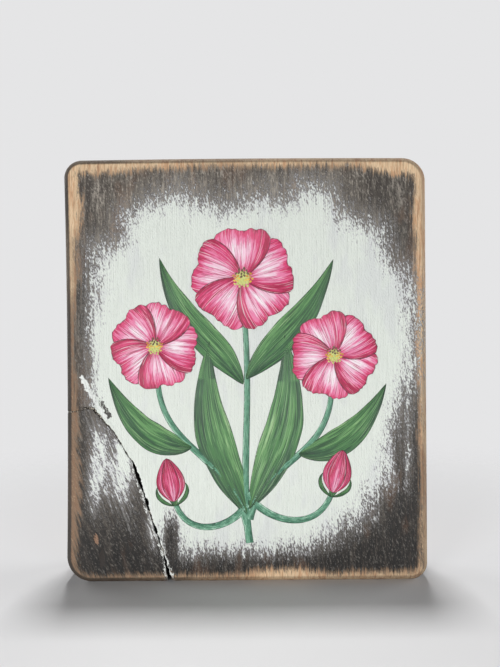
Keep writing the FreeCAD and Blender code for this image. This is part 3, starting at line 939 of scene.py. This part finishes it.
class OBJECT_OT_block_face(BlockOperator, bpy.types.Operator):
    """Adds the stained and ground-coated face of the board and of the corner"""
    bl_idname = "object.block_face"
    bl_label = "Painted face"

    def execute(self, context):
        sizes, colours = self.settings
        board = face_material(
            "dry-brushed acrylic on stained pine", colours, sizes, slant=0.0, streaky=0.40)
        corner = face_material(
            "dry-brushed acrylic on slanting grain", colours, sizes, slant=20.0, streaky=0.62)
        block_face("board_face", 1, sizes, board, ("stain_coat", "ground_coat"))
        block_face("corner_face", -1, sizes, corner, ("corner_stain_coat", "corner_ground_coat"))
        return {"FINISHED"}


class OBJECT_OT_block_stems(BlockOperator, bpy.types.Operator):
    """Adds the brushed stems"""
    bl_idname = "object.block_stems"
    bl_label = "Stems"

    def execute(self, context):
        material = stroke_material(
            "blue-green acrylic", ("#A5CBB4", "#6BA386", "#4B8468", "#2C5A45"),
            outline="#1F3D31", bristles=(0.5, 0.06), outline_width=0.30)
        bm = bmesh.new()
        for i, poles in enumerate(STEMS):
            stem(bm, poles, i)
        finish_piece("stems", bm, material, ("stem_paint",))
        return {"FINISHED"}


class OBJECT_OT_block_leaves(BlockOperator, bpy.types.Operator):
    """Adds the brushed leaves, and the sepals of the buds"""
    bl_idname = "object.block_leaves"
    bl_label = "Leaves"

    def execute(self, context):
        material = stroke_material(
            "leaf green acrylic", ("#93B983", "#62935A", "#467646", "#31583A", "#1D3A29"),
            outline="#1E3526", bristles=(0.22, 0.4), outline_width=0.45)
        bm = bmesh.new()
        for i, (poles, width) in enumerate(LEAVES):
            leaf(bm, poles, width, i)
        for i, (_, *bud_place) in enumerate(BUDS):
            sepals(bm, *bud_place, len(LEAVES) + 3 * i)
        finish_piece("leaves", bm, material, ("leaf_paint",))
        return {"FINISHED"}


class OBJECT_OT_block_roses(BlockOperator, bpy.types.Operator):
    """Adds the three roses, and the dabs of thick paint in their middles"""
    bl_idname = "object.block_roses"
    bl_label = "Roses"

    def execute(self, context):
        material = stroke_material(
            "pink and crimson acrylic", ("#FBEDF3", "#F5C3D9", "#E87FA8", "#D63E72", "#A61B48"),
            outline="#4A1C2E", bristles=(0.13, 0.9), outline_width=0.45)
        centres = bmesh.new()
        for i, (name, centre, radius, turn) in enumerate(ROSES):
            bm = bmesh.new()
            for k in range(PETALS):
                petal(bm, centre, radius, turn + 360 / PETALS * k, i * PETALS + k)
            finish_piece(name + "_petals", bm, material, (name,))
            rose_centre(centres, centre, radius, i * 1.3)
        finish_piece("rose_dabs", centres, dab_material(), ("rose_centres",))
        return {"FINISHED"}


class OBJECT_OT_block_buds(BlockOperator, bpy.types.Operator):
    """Adds the two closed buds"""
    bl_idname = "object.block_buds"
    bl_label = "Buds"

    def execute(self, context):
        material = stroke_material(
            "crimson acrylic", ("#F8DCE8", "#EE9CBD", "#DB4E80", "#B81F4E", "#7F1538"),
            outline="#3E1826", bristles=(0.2, 0.7), outline_width=0.40)
        for i, (name, root, turn, length, half_width) in enumerate(BUDS):
            bm = bmesh.new()
            bud(bm, root, turn, length, half_width, 30 + i * 3)
            finish_piece(name + "_petals", bm, material, (name,))
        return {"FINISHED"}


class OBJECT_OT_block_hardware(BlockOperator, bpy.types.Operator):
    """Finishes the filler in the crack, the hanger and its nails"""
    bl_idname = "object.block_hardware"
    bl_label = "Filler and hanger"

    def execute(self, context):
        finishes = {
            "crack_filler": filler_material(),
            "hanger_plate": steel_material("zinc-plated steel", "#B9B9B4", roughness=0.38),
            "hanger_nails": steel_material("bright nail steel", "#A8A6A2", roughness=0.30),
        }
        for node, material in finishes.items():
            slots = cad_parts[node].data.materials
            slots.clear()
            slots.append(material)
        return {"FINISHED"}


class OBJECT_OT_block_stage(BlockOperator, bpy.types.Operator):
    """Adds the pale floor, the soft lights and the camera"""
    bl_idname = "object.block_stage"
    bl_label = "Stage"

    def execute(self, context):
        scene = context.scene
        scene.view_settings.view_transform = "Standard"
        self.add_floor(scene)
        self.add_world(scene)
        for light in LIGHTS:
            self.add_light(scene, *light)
        camera = bpy.data.objects.new("camera", bpy.data.cameras.new("camera"))
        camera.data.lens = LENS
        camera.data.clip_start = 0.01
        camera.location = Vector((CAMERA_X, FRONT - CAMERA_GAP, CAMERA_HEIGHT)) * MM
        camera.rotation_euler = (math.pi / 2, math.radians(CAMERA_ROLL), 0)
        scene.collection.objects.link(camera)
        scene.camera = camera
        return {"FINISHED"}

    def add_floor(self, scene):
        """A pale floor that fades into the background."""
        bm = bmesh.new()
        bmesh.ops.create_circle(bm, cap_ends=True, segments=96, radius=FLOOR_RADIUS)
        mesh = bpy.data.meshes.new("floor")
        bm.to_mesh(mesh)
        bm.free()
        floor = bpy.data.objects.new("floor", mesh)
        scene.collection.objects.link(floor)
        material = bpy.data.materials.new("matt white paint")
        material.use_nodes = True
        tree = material.node_tree
        tree.nodes.remove(tree.nodes["Principled BSDF"])
        chalk = add(tree, "BsdfDiffuse", {"Color": linear("#DCDCDD")})
        place = add(tree, "TexCoord", out="Object")
        away = add(tree, "VectorMath", {0: place}, out="Value", operation="LENGTH")
        gone = add(tree, "MapRange", {"Value": away, "From Min": FLOOR_FADE[0], "From Max": FLOOR_FADE[1]},
                   interpolation_type="SMOOTHSTEP")
        clear = add(tree, "BsdfTransparent")
        cover = add(tree, "MixShader", {0: gone, 1: chalk, 2: clear})
        tree.links.new(cover, tree.nodes["Material Output"].inputs["Surface"])
        mesh.materials.append(material)

    def add_world(self, scene):
        """Soft light from all round, and a pale background where it is seen."""
        world = bpy.data.worlds.new("pale room")
        scene.world = world
        world.use_nodes = True
        tree = world.node_tree
        path = tree.nodes.new("ShaderNodeLightPath")
        seen = 0.0
        for ray in ("Is Camera Ray", "Is Glossy Ray", "Is Transmission Ray"):
            seen = add(tree, "Math", {0: path.outputs[ray], 1: seen}, operation="MAXIMUM")
        shade = layered(tree, linear("#C9CBCE"), (seen, 0.0, 1.0, 1.0, "#E5E5E6"))
        strength = add(tree, "MapRange", {"Value": seen, "To Min": WORLD_STRENGTH, "To Max": 1.0})
        background = tree.nodes["Background"]
        tree.links.new(shade, background.inputs["Color"])
        tree.links.new(strength, background.inputs["Strength"])

    def add_light(self, scene, name, place, aim, size, power):
        """A soft panel that only its light shows."""
        light = bpy.data.lights.new(name, "AREA")
        light.shape = "RECTANGLE"
        light.size, light.size_y = size
        light.energy = power
        lamp = bpy.data.objects.new(name, light)
        lamp.location = place
        lamp.rotation_euler = (Vector(aim) - Vector(place)).to_track_quat("-Z", "Y").to_euler()
        lamp.visible_camera = False
        scene.collection.objects.link(lamp)


OPERATORS = (
    OBJECT_OT_block_stage,
    OBJECT_OT_block_wood,
    OBJECT_OT_block_face,
    OBJECT_OT_block_stems,
    OBJECT_OT_block_leaves,
    OBJECT_OT_block_roses,
    OBJECT_OT_block_buds,
    OBJECT_OT_block_hardware,
)


class VIEW3D_PT_painted_block(bpy.types.Panel):
    """Lists the settings and the operators"""
    bl_idname = "VIEW3D_PT_painted_block"
    bl_label = "Painted block"
    bl_space_type = "VIEW_3D"
    bl_region_type = "UI"
    bl_category = "Painted block"

    def draw(self, context):
        for group in (context.scene.block_sizes, context.scene.paint_colours):
            for name in group.__annotations__:
                self.layout.prop(group, name)
        for operator in OPERATORS:
            self.layout.operator(operator.bl_idname)


CLASSES = (BlockSizes, PaintColours, *OPERATORS, VIEW3D_PT_painted_block)


def register():
    for one in CLASSES:
        bpy.utils.register_class(one)
    bpy.types.Scene.block_sizes = PointerProperty(type=BlockSizes)
    bpy.types.Scene.paint_colours = PointerProperty(type=PaintColours)


def unregister():
    del bpy.types.Scene.paint_colours
    del bpy.types.Scene.block_sizes
    for one in reversed(CLASSES):
        bpy.utils.unregister_class(one)


def main():
    register()
    for operator in OPERATORS:
        group, name = operator.bl_idname.split(".")
        getattr(getattr(bpy.ops, group), name)()


if __name__ == "__main__":
    main()
